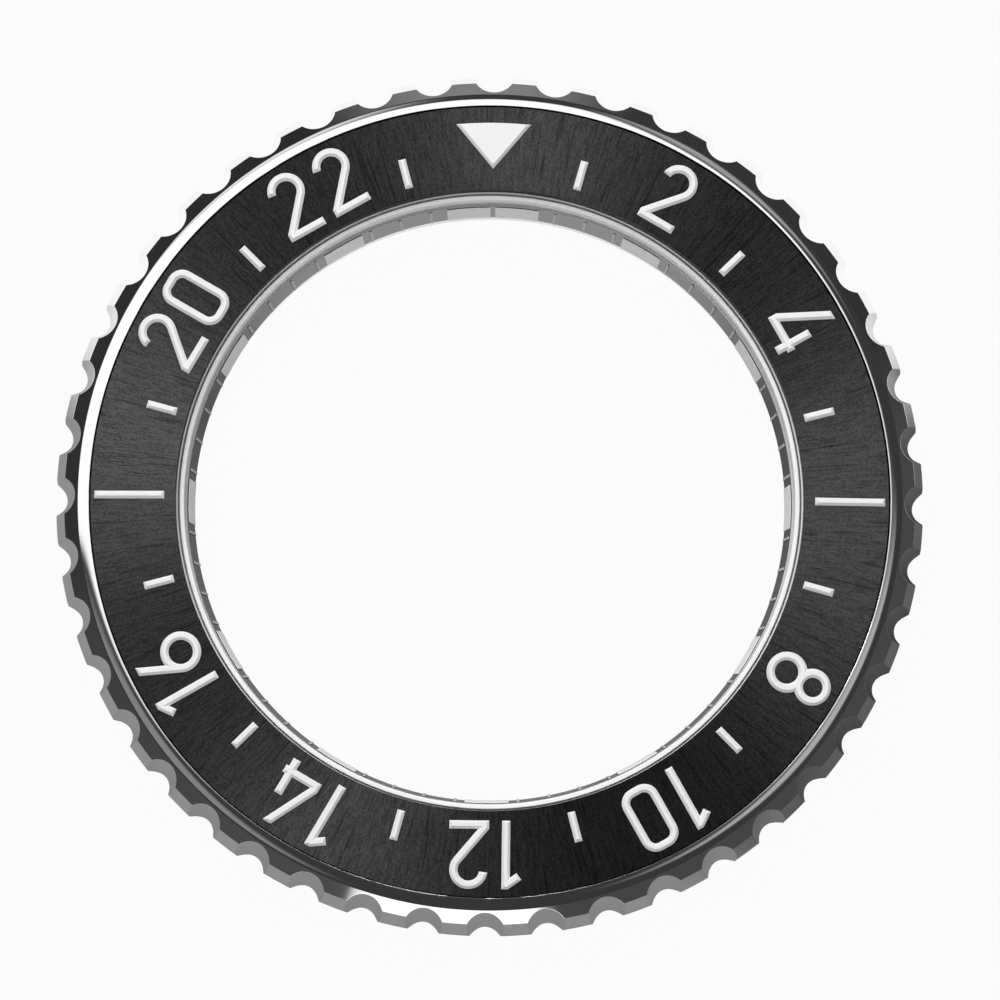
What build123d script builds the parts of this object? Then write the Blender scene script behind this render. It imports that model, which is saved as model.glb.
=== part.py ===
from build123d import *

import os
from math import asin, atan2, cos, degrees, hypot, radians, sin, sqrt, tan

# Rotating 24-hour watch bezel on the fixed seat that carries it, in millimetres.
# The axis is Z, the face looks up along +Z, and the triangle marker lies towards +Y.
# Z is zero at the lower end of the seat's spigot.

# Dial and crystal that the seat takes
dial_radius = 14.25
dial_overlap = 0.23
crystal_margin = 0.17
crystal_ledge = 0.12

# Seat ring, with the spigot that goes into the case
spigot_wall = 0.46
spigot_height = 1.4
spigot_chamfer = 0.15
seat_flange_width = 1.4
seat_flange_thickness = 0.9
seat_flange_chamfer = 0.1
flange_step_drop = 0.5
collar_wall = 0.75
collar_play = 0.03

# Turning gaps between the bezel and the seat
turning_gap = 0.1
journal_gap = 0.05
lip_gap = 0.07
web_gap = 0.06

# Bezel ring
skirt_height = 0.9
skirt_chamfer = 0.3
flare_height = 0.85
flare_width = 0.41
bevel_height = 0.48
bevel_width = 0.64
band_width = 0.54
band_fall = 0.07
band_crown = 0.02
edge_break = 0.03
lip_wall = 0.1
lip_height = 0.26
web_thickness = 0.5

# Grip notches, measured at the tooth's corner
notch_count = 44
notch_radius = 1.07
notch_depth = 0.44
notch_taper = 12

# Insert and the adhesive film under it
insert_width = 4.0
insert_drop = 0.14
insert_gap = 0.06
insert_lip_gap = 0.02
insert_edge_thickness = 0.6
insert_fall = 0.19
insert_bevel_width = 0.02
insert_bevel_height = 0.02
adhesive_thickness = 0.08
adhesive_margin = 0.15

# Raised markers on the insert
relief = 0.2
marker_bevel = 0.12
glue_line = 0.02
numeral_foot_margin = 0.41
numeral_head_margin = 0.36
stroke_width = 0.39
tick_foot_margin = 0.49
tick_length = 1.44
tick_width = 0.36
index_head_margin = 0.19
triangle_base_margin = 0.78
triangle_height = 2.24
triangle_width = 3.54

# Crystal gasket
gasket_wall = 0.21
gasket_foot_width = 0.19
gasket_height = 1.47
gasket_chamfer_width = 0.04
gasket_chamfer_height = 0.04
gasket_lap_width = 0.16
gasket_lap_height = 0.53
gasket_gap = 0.02

# Flange ring and its printed marks
flange_height = 1.38
flange_gap = 0.05
mark_thickness = 0.03
mark_gap = 0.02
mark_margin = 0.1
hour_mark_width = 2.05
hour_mark_split = 0.22
minute_mark_width = 0.13

# Retaining wire
wire_diameter = 0.3
wire_rise = 0.02
wire_play = 0.04
wire_opening = 3.0
snap_lip_height = 0.26

# Friction ring under the bezel
friction_ring_width = 0.31
friction_ring_thickness = 0.22
friction_ring_gap = 0.02
friction_ring_top_gap = 0.03

# Click ring
click_ring_margin = 0.55
click_ring_width = 1.6
click_ring_thickness = 0.7
press_gap = 0.02
click_count = 24
valley_radius = 1.2
valley_depth = 0.3

# Click balls and their springs
ball_count = 3
ball_radius = 0.5
ball_play = 0.02
pocket_play = 0.04
pocket_floor = 0.35
spring_wire_diameter = 0.12
spring_play = 0.06
spring_turns = 4

# One overrun serves all the cutters
overrun = 0.5

# Heights worked out from the stack
seat_top = spigot_height + seat_flange_thickness
flange_step_height = seat_top - flange_step_drop
bezel_base = seat_top + turning_gap
skirt_top = bezel_base + skirt_height
corner_height = skirt_top + flare_height
band_outer_height = corner_height + bevel_height
band_inner_height = band_outer_height + band_fall
insert_edge_height = band_inner_height - insert_drop
insert_crest = insert_edge_height + insert_fall
insert_floor = insert_edge_height - insert_edge_thickness
pocket_height = insert_floor - adhesive_thickness
web_height = pocket_height - web_thickness
collar_top = web_height - web_gap
lip_top = pocket_height + lip_height

# Radii of the bezel, worked out from the crystal outwards
crystal_radius = dial_radius + crystal_margin
gasket_radius = crystal_radius + gasket_wall
lip_radius = gasket_radius + lip_gap
lip_outer_radius = lip_radius + lip_wall
insert_bore = lip_outer_radius + insert_lip_gap
insert_shoulder = insert_bore + insert_bevel_width
insert_radius = insert_bore + insert_width
pocket_radius = insert_radius + insert_gap
band_inner_radius = pocket_radius + edge_break
band_outer_radius = band_inner_radius + band_width
corner_radius = band_outer_radius + bevel_width
overall_radius = corner_radius + flare_width
insert_slope = degrees(atan2(insert_fall, insert_radius - insert_shoulder))

# Radii of the seat and the click works, worked out from the gasket outwards
collar_bore_radius = gasket_radius + gasket_foot_width + collar_play
collar_radius = collar_bore_radius + collar_wall
journal_radius = collar_radius + journal_gap
click_ring_inner_radius = journal_radius + click_ring_margin
click_ring_radius = click_ring_inner_radius + click_ring_width
click_radius = click_ring_inner_radius + click_ring_width / 2
spigot_radius = click_radius + ball_radius + pocket_play + spigot_wall
seat_flange_radius = spigot_radius + seat_flange_width

# Places and sizes of the markers between the insert's two edges
numeral_foot_radius = insert_shoulder + numeral_foot_margin
numeral_height = insert_radius - numeral_head_margin - numeral_foot_radius
tick_foot_radius = insert_shoulder + tick_foot_margin
index_length = insert_radius - index_head_margin - tick_foot_radius
triangle_base_radius = insert_radius - triangle_base_margin

# Retaining wire and the two grooves that it lies in
friction_top = seat_top + friction_ring_thickness
rebate_top = friction_top + friction_ring_top_gap
groove_height = wire_diameter + wire_play
groove_middle = rebate_top + snap_lip_height + groove_height / 2
wire_radius = collar_radius + wire_rise
seat_groove_radius = collar_radius - wire_diameter - wire_rise
bezel_groove_radius = wire_radius + wire_diameter / 2 + wire_play


def turned(points, sweep=360):
    """A ring turned about the axis from a closed outline of radius and height pairs."""
    outline = Plane.XZ * make_face(Polyline(*points, close=True))
    return revolve(outline, Axis.Z, sweep)


def band(inner, outer, low, high):
    """A plain ring between two radii and two heights."""
    return turned([(inner, low), (outer, low), (outer, high), (inner, high)])


def spin(angle):
    """The turn that takes a piece made along +Y to its clock angle, clockwise seen from above."""
    return Rot(0, 0, -angle)


# Bezel ring: pocket for the insert, polished band, bevelled teeth and snap groove
def make_bezel_ring():
    crown_radius = (band_inner_radius + band_outer_radius) / 2
    crown = ThreePointArc(
        (band_inner_radius, band_inner_height),
        (crown_radius, (band_inner_height + band_outer_height) / 2 + band_crown),
        (band_outer_radius, band_outer_height),
    )
    rest = Polyline(
        (band_outer_radius, band_outer_height),
        (corner_radius, corner_height),
        (overall_radius, skirt_top),
        (overall_radius, bezel_base + skirt_chamfer),
        (overall_radius - skirt_chamfer, bezel_base),
        (journal_radius, bezel_base),
        (journal_radius, web_height),
        (lip_radius, web_height),
        (lip_radius, lip_top),
        (lip_outer_radius, lip_top),
        (lip_outer_radius, pocket_height),
        (pocket_radius, pocket_height),
        (pocket_radius, band_inner_height - edge_break),
        (band_inner_radius, band_inner_height),
    )
    ring = revolve(Plane.XZ * make_face([crown, rest]), Axis.Z)
    ring -= band(journal_radius - overrun, friction_groove_radius(), bezel_base - overrun, rebate_top)
    ring -= band(
        journal_radius - overrun,
        bezel_groove_radius,
        groove_middle - groove_height / 2,
        groove_middle + groove_height / 2,
    )
    ring -= band(
        click_ring_inner_radius - press_gap,
        click_ring_radius + press_gap,
        bezel_base - overrun,
        bezel_base + click_ring_thickness,
    )
    return ring - notches()


def friction_groove_radius():
    """Outer wall of the rebate that passes over the friction ring."""
    return journal_radius + friction_ring_width + friction_ring_gap


def notches():
    """Upright cones, wider at the top, that cut the grip notches from the bevel to the base."""
    place = corner_radius - notch_depth + notch_radius
    low = bezel_base - overrun
    high = band_inner_height + overrun
    radii = [notch_radius + (height - corner_height) * tan(radians(notch_taper)) for height in (low, high)]
    cutter = Pos(0, place, (low + high) / 2) * Cone(*radii, high - low)
    return [spin(k * 360 / notch_count) * cutter for k in range(notch_count)]


# Insert: a cone that falls outwards, bevelled at its bore
def make_insert_ring():
    return turned(
        [
            (insert_bore, insert_floor),
            (insert_radius, insert_floor),
            (insert_radius, insert_edge_height),
            (insert_shoulder, insert_crest),
            (insert_bore, insert_crest - insert_bevel_height),
        ]
    )


def make_insert_adhesive():
    return band(
        insert_bore + adhesive_margin,
        insert_radius - adhesive_margin,
        pocket_height,
        insert_floor,
    )


# Click ring: a ring with round valleys on its underside, pressed into the bezel
def make_click_ring():
    ring = band(
        click_ring_inner_radius,
        click_ring_radius,
        bezel_base,
        bezel_base + click_ring_thickness,
    )
    axis_height = bezel_base + valley_depth - valley_radius
    length = click_ring_width + 2 * overrun
    valley = Pos(0, click_radius, axis_height) * Rot(90, 0, 0) * Cylinder(valley_radius, length)
    return ring - [spin(k * 360 / click_count) * valley for k in range(click_count)]


# Strokes that the numerals are drawn with, as flat shapes with their foot on the X axis
def line(foot_x, foot_y, head_x, head_y):
    """A straight stroke with square ends."""
    length = hypot(head_x - foot_x, head_y - foot_y)
    lean = degrees(atan2(head_y - foot_y, head_x - foot_x))
    middle = Pos((foot_x + head_x) / 2, (foot_y + head_y) / 2)
    return middle * Rot(0, 0, lean) * Rectangle(length, stroke_width)


def hoop(x, y, radius):
    """A round stroke."""
    return Pos(x, y) * (Circle(radius + stroke_width / 2) - Circle(radius - stroke_width / 2))


def bow(x, y, radius, start, end):
    """Part of a round stroke, counter-clockwise from one angle to the other."""
    reach = 2 * (radius + stroke_width)
    steps = 4
    angles = [radians(start + (end - start) * k / steps) for k in range(steps + 1)]
    points = [(reach * cos(angle), reach * sin(angle)) for angle in angles]
    wedge = make_face(Polyline((0, 0), *points, close=True))
    return hoop(x, y, radius) & Pos(x, y) * wedge


def frame(left, right, low=0):
    """The box that cuts a digit's strokes off square, up to the height of the numerals."""
    height = numeral_height - low
    return Pos((left + right) / 2, low + height / 2) * Rectangle(right - left, height)


def digit_zero():
    width_share, corner_share = 0.571, 0.224
    width = numeral_height * width_share
    corner = numeral_height * corner_share
    outer = RectangleRounded(width, numeral_height, corner)
    inner_width = width - 2 * stroke_width
    inner_height = numeral_height - 2 * stroke_width
    inner = RectangleRounded(inner_width, inner_height, corner - stroke_width)
    return Pos(0, numeral_height / 2) * (outer - inner)


def digit_one():
    """A post, its top cut by the upper edge of a short flag with a square tip."""
    flag_share, flag_lean, cut_stroke_share = 0.24, 35, 0.26
    half = stroke_width / 2
    along = (cos(radians(flag_lean)), sin(radians(flag_lean)))
    length = numeral_height * flag_share
    cut = (-stroke_width * cut_stroke_share, numeral_height)
    tip = (cut[0] - length * along[0], cut[1] - length * along[1])
    low_tip = (tip[0] + stroke_width * along[1], tip[1] - stroke_width * along[0])
    corner = (-half, low_tip[1] - (low_tip[0] + half) * along[1] / along[0])
    foot = [(-half, 0), (half, 0), (half, numeral_height)]
    return make_face(Polyline(*foot, cut, tip, low_tip, corner, close=True))


def digit_two():
    """A bow that runs out in a straight slope, whose left edge ends in the bar's upper corner."""
    bow_x_share, bow_share, left_share, right_share = 0.01, 0.218, -0.287, 0.293
    tip_angle = 172
    left = numeral_height * left_share
    right = numeral_height * right_share
    x = numeral_height * bow_x_share
    radius = numeral_height * bow_share
    y = numeral_height - stroke_width / 2 - radius
    inner = radius - stroke_width / 2
    outer = radius + stroke_width / 2
    distance = hypot(x - left, y - stroke_width)
    lean = atan2(y - stroke_width, x - left) - asin(inner / distance)
    across = (sin(lean), -cos(lean))
    upper = [(x + reach * across[0], y + reach * across[1]) for reach in (outer, inner)]
    crotch = (left + stroke_width / sin(lean), stroke_width)
    bar = [(left, stroke_width), (left, 0), (right, 0), (right, stroke_width)]
    slope = make_face(Polyline(*upper, *bar, crotch, close=True))
    return slope + bow(x, y, radius, degrees(lean) - 90, tip_angle)


def digit_four():
    left_share, right_share, bar_share = -0.326, 0.272, 0.197
    post_share, post_top_share, head_share, knee_stroke_share = 0.168, 0.565, 0.099, 0.486
    left = numeral_height * left_share
    right = numeral_height * right_share
    middle = numeral_height * bar_share
    low = middle - stroke_width / 2
    knee_x = left + stroke_width * knee_stroke_share
    knee_y = middle + stroke_width / 2
    slope = (numeral_height - knee_y) / (numeral_height * head_share - knee_x)
    head_y = numeral_height + stroke_width
    foot_y = low - stroke_width
    slant = line(
        knee_x + (foot_y - knee_y) / slope, foot_y, knee_x + (head_y - knee_y) / slope, head_y
    )
    post_x = numeral_height * post_share
    post = line(post_x, 0, post_x, numeral_height * post_top_share)
    return (slant & frame(left, right, low)) + line(left, middle, right, middle) + post


def digit_six():
    bowl_share, tangent = 0.24, 24.5
    radius = numeral_height * bowl_share
    y = radius + stroke_width / 2
    foot_x = -radius * cos(radians(tangent))
    foot_y = y + radius * sin(radians(tangent))
    rise = numeral_height + stroke_width - foot_y
    stem = line(foot_x, foot_y, foot_x + rise * tan(radians(tangent)), foot_y + rise)
    return hoop(0, y, radius) + (stem & frame(-numeral_height, numeral_height))


def digit_eight():
    lower_share, upper_share, hole_share, hole_shift_share = 0.301, 0.271, 0.127, 0.008
    lower = numeral_height * lower_share
    upper = numeral_height * upper_share
    shift = numeral_height * hole_shift_share
    low_y = lower
    high_y = numeral_height - upper
    rise = ((high_y - low_y) ** 2 + lower**2 - upper**2) / (2 * (high_y - low_y))
    half = sqrt(lower**2 - rise**2)
    waist = low_y + rise
    low = ThreePointArc((-half, waist), (0, 0), (half, waist))
    high = ThreePointArc((half, waist), (0, numeral_height), (-half, waist))
    shape = make_face([low, high])
    shape -= Pos(0, low_y - shift) * Circle(lower - numeral_height * hole_share)
    return shape - Pos(0, high_y + shift) * Circle(upper - numeral_height * hole_share)


digits = {
    "0": digit_zero,
    "1": digit_one,
    "2": digit_two,
    "4": digit_four,
    "6": digit_six,
    "8": digit_eight,
}


# Raised pieces: a flat shape given its relief, bevelled and laid on the insert's cone
def raised(shape):
    """A plate with a bevelled top edge, from a flat shape, with its glued side at zero."""
    plate = extrude(shape, relief)
    return chamfer(plate.faces().sort_by(Axis.Z)[-1].edges(), marker_bevel)


def on_insert(piece, angle, radius):
    """Lays a piece on the cone, its Y axis outwards from the given radius, at a clock angle."""
    height = insert_crest - (radius - insert_shoulder) * insert_fall / (insert_radius - insert_shoulder)
    return spin(angle) * Pos(0, radius, height + glue_line) * Rot(-insert_slope, 0, 0) * piece


def make_numeral(text):
    """The digits of one hour, each a plate of its own, side by side on one line."""
    offset_shares = {
        "2": [0.0],
        "4": [0.0],
        "8": [0.0],
        "10": [-0.313, 0.273],
        "12": [-0.293, 0.242],
        "14": [-0.321, 0.278],
        "16": [-0.31, 0.238],
        "20": [-0.374, 0.374],
        "22": [-0.38, 0.379],
    }
    angle = int(text) * 360 / 24
    pieces = []
    for digit, share in zip(text, offset_shares[text]):
        plate = Pos(numeral_height * share, 0) * raised(digits[digit]())
        pieces.append(on_insert(plate, angle, numeral_foot_radius))
    return Compound(children=pieces)


def make_stroke(hour, length):
    """A straight radial mark."""
    shape = Pos(0, length / 2) * Rectangle(tick_width, length)
    return on_insert(raised(shape), hour * 360 / 24, tick_foot_radius)


def make_triangle():
    """The marker at the zero hour, its base outwards and slightly round."""
    foot = triangle_base_radius - triangle_height
    half = triangle_width / 2
    shoulder = sqrt(triangle_base_radius**2 - half**2) - foot
    base = ThreePointArc((half, shoulder), (0, triangle_height), (-half, shoulder))
    sides = Polyline((-half, shoulder), (0, 0), (half, shoulder))
    return on_insert(raised(make_face([base, sides])), 0, foot)


# Seat ring: spigot, flange and collar, with the snap groove and the ball pockets
def make_seat_ring():
    ring = turned(
        [
            (dial_radius, 0),
            (spigot_radius - spigot_chamfer, 0),
            (spigot_radius, spigot_chamfer),
            (spigot_radius, spigot_height),
            (seat_flange_radius - seat_flange_chamfer, spigot_height),
            (seat_flange_radius, spigot_height + seat_flange_chamfer),
            (seat_flange_radius, seat_top - seat_flange_chamfer),
            (seat_flange_radius - seat_flange_chamfer, seat_top),
            (collar_radius, seat_top),
            (collar_radius, collar_top),
            (collar_bore_radius, collar_top),
            (collar_bore_radius, flange_step_height),
            (dial_radius, flange_step_height),
        ]
    )
    ring -= band(
        seat_groove_radius,
        collar_radius + overrun,
        groove_middle - groove_height / 2,
        groove_middle + groove_height / 2,
    )
    depth = seat_top - pocket_floor + overrun
    pocket = Pos(0, click_radius, pocket_floor + depth / 2) * Cylinder(ball_radius + pocket_play, depth)
    return ring - [spin(angle) * pocket for angle in ball_angles()]


def ball_angles():
    """Clock angles of the balls, each under a valley."""
    return [(k + 1 / 2) * 360 / ball_count for k in range(ball_count)]


# Flange ring: a steep cone between the crystal's ledge and the dial's edge
flange_foot_radius = dial_radius - dial_overlap
flange_top_radius = crystal_radius - crystal_ledge
flange_top = flange_step_height + flange_height
gasket_lap_radius = crystal_radius + gasket_lap_width
gasket_foot_height = flange_top - gasket_lap_height + gasket_gap


def make_flange_ring():
    outer = collar_bore_radius - flange_gap
    return turned(
        [
            (flange_foot_radius, flange_step_height),
            (outer, flange_step_height),
            (outer, gasket_foot_height),
            (gasket_lap_radius - gasket_gap, gasket_foot_height),
            (gasket_lap_radius - gasket_gap, flange_top),
            (flange_top_radius, flange_top),
        ]
    )


def flange_mark(width):
    """A printed mark that fills the flange's cone between its margins, at clock angle zero."""
    lean = atan2(flange_top_radius - flange_foot_radius, flange_height)
    low = flange_step_height + mark_margin
    high = flange_top - mark_margin
    points = []
    for height, depth in ((low, 0), (high, 0), (high, mark_thickness), (low, mark_thickness)):
        on_cone = flange_foot_radius + (height - flange_step_height) * sin(lean) / cos(lean)
        points.append((on_cone - mark_gap - depth, height))
    sweep = degrees(width / flange_foot_radius)
    return Rot(0, 0, 90 - sweep / 2) * turned(points, sweep)


def make_flange_hour_marks():
    mark = flange_mark(hour_mark_width)
    half_step = degrees((hour_mark_width + hour_mark_split) / 2 / flange_foot_radius)
    angles = [-half_step, half_step] + [k * 360 / 12 for k in range(1, 12)]
    return Compound(children=[spin(angle) * mark for angle in angles])


def make_flange_minute_marks():
    """A mark at each minute that no hour mark covers, the double one at the zero hour included."""
    mark = flange_mark(minute_mark_width)
    covered = degrees((hour_mark_width + hour_mark_split / 2) / flange_foot_radius)
    minutes = [k for k in range(60) if k % 5 and min(k, 60 - k) * 360 / 60 > covered]
    return Compound(children=[spin(k * 360 / 60) * mark for k in minutes])


# Crystal gasket: a sleeve between the crystal and the bezel's lip, with a foot in the collar
def make_crystal_gasket():
    foot_radius = gasket_radius + gasket_foot_width
    top = flange_top + gasket_gap
    return turned(
        [
            (gasket_lap_radius, gasket_foot_height),
            (foot_radius, gasket_foot_height),
            (foot_radius, collar_top),
            (gasket_radius, collar_top),
            (gasket_radius, gasket_foot_height + gasket_height),
            (crystal_radius + gasket_chamfer_width, gasket_foot_height + gasket_height),
            (crystal_radius, gasket_foot_height + gasket_height - gasket_chamfer_height),
            (crystal_radius, top),
            (gasket_lap_radius, top),
        ]
    )


# Retaining wire: an open ring of round wire, half in each groove
def make_retaining_wire():
    section = Plane.XZ * (Pos(wire_radius, groove_middle) * Circle(wire_diameter / 2))
    opening = degrees(wire_opening / wire_radius)
    return Rot(0, 0, opening / 2) * revolve(section, Axis.Z, 360 - opening)


def make_friction_ring():
    inner = collar_radius + friction_ring_gap
    return band(inner, inner + friction_ring_width, seat_top, friction_top)


# Click balls and springs
ball_height = bezel_base + valley_depth - ball_play - ball_radius


def make_ball(angle):
    return spin(angle) * Pos(0, click_radius, ball_height) * Sphere(ball_radius)


def make_spring(angle):
    """A coil between the pocket's floor and the ball, which sits in its top turn."""
    half_wire = spring_wire_diameter / 2
    coil_radius = ball_radius + pocket_play - spring_play - spring_wire_diameter
    low = pocket_floor + half_wire
    touch = ball_radius + half_wire + ball_play
    high = ball_height - sqrt(touch**2 - coil_radius**2)
    path = Helix((high - low) / spring_turns, high - low, coil_radius)
    start = Plane(path @ 0, z_dir=path % 0)
    coil = sweep(start * Circle(half_wire), path)
    return spin(angle) * Pos(0, click_radius, low) * coil


def make_nodes():
    nodes = {
        "bezel_ring": make_bezel_ring(),
        "insert_ring": make_insert_ring(),
        "insert_adhesive": make_insert_adhesive(),
        "click_ring": make_click_ring(),
        "marker_triangle": make_triangle(),
        "seat_ring": make_seat_ring(),
        "flange_ring": make_flange_ring(),
        "flange_hour_marks": make_flange_hour_marks(),
        "flange_minute_marks": make_flange_minute_marks(),
        "crystal_gasket": make_crystal_gasket(),
        "retaining_wire": make_retaining_wire(),
        "friction_ring": make_friction_ring(),
    }
    for hour in range(1, 24, 2):
        nodes[f"tick_{hour}"] = make_stroke(hour, tick_length)
    for hour in (6, 18):
        nodes[f"index_{hour}"] = make_stroke(hour, index_length)
    for hour in (2, 4, 8, 10, 12, 14, 16, 20, 22):
        nodes[f"numeral_{hour}"] = make_numeral(str(hour))
    for number, angle in enumerate(ball_angles(), 1):
        nodes[f"click_ball_{number}"] = make_ball(angle)
        nodes[f"click_spring_{number}"] = make_spring(angle)
    return nodes


os.makedirs("parts", exist_ok=True)
for name, piece in make_nodes().items():
    export_step(piece, f"parts/{name}.step")
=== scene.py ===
import logging
from dataclasses import dataclass
from enum import Enum
from functools import partial
from math import acos, atan2, cos, hypot, inf, pi, radians, sin, sqrt, tan
from typing import Any, Callable, Sequence

import bmesh
import bpy
from mathutils import Matrix, Vector


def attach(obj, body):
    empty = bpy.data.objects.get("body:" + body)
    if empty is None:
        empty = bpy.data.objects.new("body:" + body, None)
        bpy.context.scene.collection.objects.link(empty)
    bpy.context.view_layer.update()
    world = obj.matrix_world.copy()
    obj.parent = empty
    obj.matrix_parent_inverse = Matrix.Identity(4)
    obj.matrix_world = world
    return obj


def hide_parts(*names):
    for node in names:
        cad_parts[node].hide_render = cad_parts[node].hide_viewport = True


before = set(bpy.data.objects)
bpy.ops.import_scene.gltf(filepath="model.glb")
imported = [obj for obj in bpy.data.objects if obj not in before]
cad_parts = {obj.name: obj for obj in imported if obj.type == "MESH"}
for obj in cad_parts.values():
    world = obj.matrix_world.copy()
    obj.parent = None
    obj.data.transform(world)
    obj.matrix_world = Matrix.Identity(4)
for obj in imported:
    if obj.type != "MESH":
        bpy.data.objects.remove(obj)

# Looks of the rotating 24-hour watch bezel. Sizes are in millimetres, as in the CAD source,
# and points become metres when a mesh is made. Clock angles run clockwise from +Y.

MM = 0.001
PHOTO_PIXELS = 1000
MERGE_DISTANCE = 0.0004 * MM
SUPPORT_SHARE = 0.4
RING_SHARP = 35.0

Outline = list[tuple[float, float]]
RingPoint = tuple[float, float, float]
Operator = Callable[["Value", Any], "Value"]

log = logging.getLogger("bezel")


class Body(Enum):
    """The bodies that pieces ride on."""

    SEAT = "seat"
    BEZEL = "bezel"


class Slot(Enum):
    """The record's material slots."""

    BEZEL = "bezel_steel"
    INSERT = "insert_black"
    MARKER = "marker_white"
    ADHESIVE = "adhesive_film"
    CLICK = "click_steel"
    SEAT = "seat_steel"
    FLANGE = "flange_mirror"
    PRINT = "flange_print"
    FAINT_PRINT = "flange_print_faint"
    GASKET = "gasket_nylon"
    SPRING = "spring_steel"
    FRICTION = "friction_nylon"
    BALL = "ball_steel"


class LampUse(Enum):
    """What a lamp is for: shading matt surfaces, or bringing out the insert's brushing."""

    SHADE = "shade"
    BRUSH = "brush"


def operators(operation: str) -> tuple[Operator, Operator]:
    """Makes a Value's operator. Args: operation: the Math node's. Returns: it and its reflected form."""

    def first(self: "Value", other: Any) -> "Value":
        """Returns: the operation on self and other."""
        return self.math(operation, self, other)

    def second(self: "Value", other: Any) -> "Value":
        """Returns: the operation on other and self."""
        return self.math(operation, other, self)

    return first, second


class Value:
    """A shader socket that takes part in Python expressions."""

    def __init__(self, graph: "Graph", socket: bpy.types.NodeSocket) -> None:
        """Args: graph: the tree that the socket belongs to. socket: an output socket."""
        self.graph = graph
        self.socket = socket

    def math(self, operation: str, *terms: Any) -> "Value":
        """A Math node on the terms. Returns: its result."""
        return self.graph.node("ShaderNodeMath", {"operation": operation}, dict(enumerate(terms)))[0]

    __add__, __radd__ = operators("ADD")
    __sub__, __rsub__ = operators("SUBTRACT")
    __mul__, __rmul__ = operators("MULTIPLY")
    __truediv__, __rtruediv__ = operators("DIVIDE")
    __pow__, __rpow__ = operators("POWER")

    def turn(self, other: Any) -> "Value":
        """Returns: the angle whose tangent is self over other."""
        return self.math("ARCTAN2", self, other)

    def at_least(self, low: float) -> "Value":
        """Returns: the larger of self and low."""
        return self.math("MAXIMUM", self, low)


class Node:
    """A node whose outputs are read as values."""

    def __init__(self, graph: "Graph", node: bpy.types.Node) -> None:
        """Args: graph: the tree. node: the node in it."""
        self.graph = graph
        self.node = node

    def __getitem__(self, key: int | str) -> Value:
        """Returns: the output socket of that name or number."""
        return Value(self.graph, self.node.outputs[key])


class Graph:
    """A shader tree, of a material or of the world."""

    def __init__(self, tree: bpy.types.NodeTree) -> None:
        """Args: tree: the tree to fill; what it holds is cleared."""
        self.tree = tree
        tree.nodes.clear()

    def node(self, kind: str, settings: dict[str, Any] | None = None, sockets: dict | None = None) -> Node:
        """Adds a node.

        Args:
            kind: its type.
            settings: attributes that are set first; "stops" are a ramp's (place, grey) pairs.
            sockets: values or links by name or number.

        Returns:
            The node.
        """
        node = self.tree.nodes.new(kind)
        for name, setting in (settings or {}).items():
            if name == "stops":
                self._stops(node.color_ramp, setting)
            else:
                setattr(node, name, setting)
        for key, value in (sockets or {}).items():
            if isinstance(value, Value):
                self.tree.links.new(value.socket, node.inputs[key])
            else:
                node.inputs[key].default_value = value
        return Node(self, node)

    @staticmethod
    def _stops(ramp: bpy.types.ColorRamp, stops: Sequence[tuple[float, float]]) -> None:
        """Sets a grey ramp's stops. Args: ramp: the ramp. stops: (place, grey) pairs in order."""
        while len(ramp.elements) > 1:
            ramp.elements.remove(ramp.elements[-1])
        for index, (place, grey) in enumerate(stops):
            stop = ramp.elements.new(place) if index else ramp.elements[0]
            stop.position = place
            stop.color = (grey, grey, grey, 1)

    def step(self, value: Value, low: float, high: float) -> Value:
        """A smooth step. Args: value: input. low, high: where it is 0 and 1. Returns: 0 to 1."""
        settings = {"interpolation_type": "SMOOTHSTEP"}
        return self.node("ShaderNodeMapRange", settings, {0: value, 1: low, 2: high})[0]

    def window(self, value: Value, low: float, high: float, edge: float) -> Value:
        """A soft-edged window. Args: value: input. low, high: sides. edge: softness. Returns: 0 to 1."""
        past_low = self.step(value, low - edge, low + edge)
        return past_low * (1 - self.step(value, high - edge, high + edge))

    def mix(self, share: Value | float, first: Any, second: Any) -> Value:
        """Mixes two colours. Args: share: of the second. first, second: colours. Returns: the colour."""
        return self.node("ShaderNodeMix", {"data_type": "RGBA"}, {0: share, 6: first, 7: second})[2]

    def noise(self, place: Value, scale: float, detail: float, rough: float) -> Value:
        """Noise. Args: place: coordinates. scale, detail, rough: its look. Returns: about 0 to 1."""
        sockets = {"Vector": place, "Scale": scale, "Detail": detail, "Roughness": rough}
        return self.node("ShaderNodeTexNoise", None, sockets)[0]


class Shader(Graph):
    """A material's tree with the ring's own coordinates, in millimetres, and a Principled surface."""

    def __init__(self, name: str) -> None:
        """Args: name: the material's name."""
        self.material = bpy.data.materials.new(name)
        self.material.use_nodes = True
        super().__init__(self.material.node_tree)
        place = self.node("ShaderNodeTexCoord")["Object"]
        scaled = self.node("ShaderNodeVectorMath", {"operation": "SCALE"}, {0: place, "Scale": 1 / MM})
        self.place = scaled[0]
        parts = self.node("ShaderNodeSeparateXYZ", None, {0: self.place})
        self.x, self.y, self.z = parts[0], parts[1], parts[2]
        self.radius = (self.x * self.x + self.y * self.y) ** 0.5

    def surface(self, **values: Any) -> bpy.types.Material:
        """Closes the tree. Args: values: the surface's, underscores for spaces. Returns: the material."""
        sockets = {name.replace("_", " "): value for name, value in values.items()}
        shell = self.node("ShaderNodeBsdfPrincipled", None, sockets)[0]
        self.node("ShaderNodeOutputMaterial", None, {"Surface": shell})
        return self.material

    def bump(self, height: Value, distance: float) -> Value:
        """A bumped normal. Args: height: 0 to 1. distance: in millimetres. Returns: the normal."""
        return self.node("ShaderNodeBump", None, {"Height": height, "Distance": distance * MM})[0]


def grey(level: float, tint: float = 0.0) -> tuple[float, float, float, float]:
    """A neutral colour. Args: level: linear grey. tint: what blue has more. Returns: the colour."""
    return (level, level, level + tint, 1)


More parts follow.
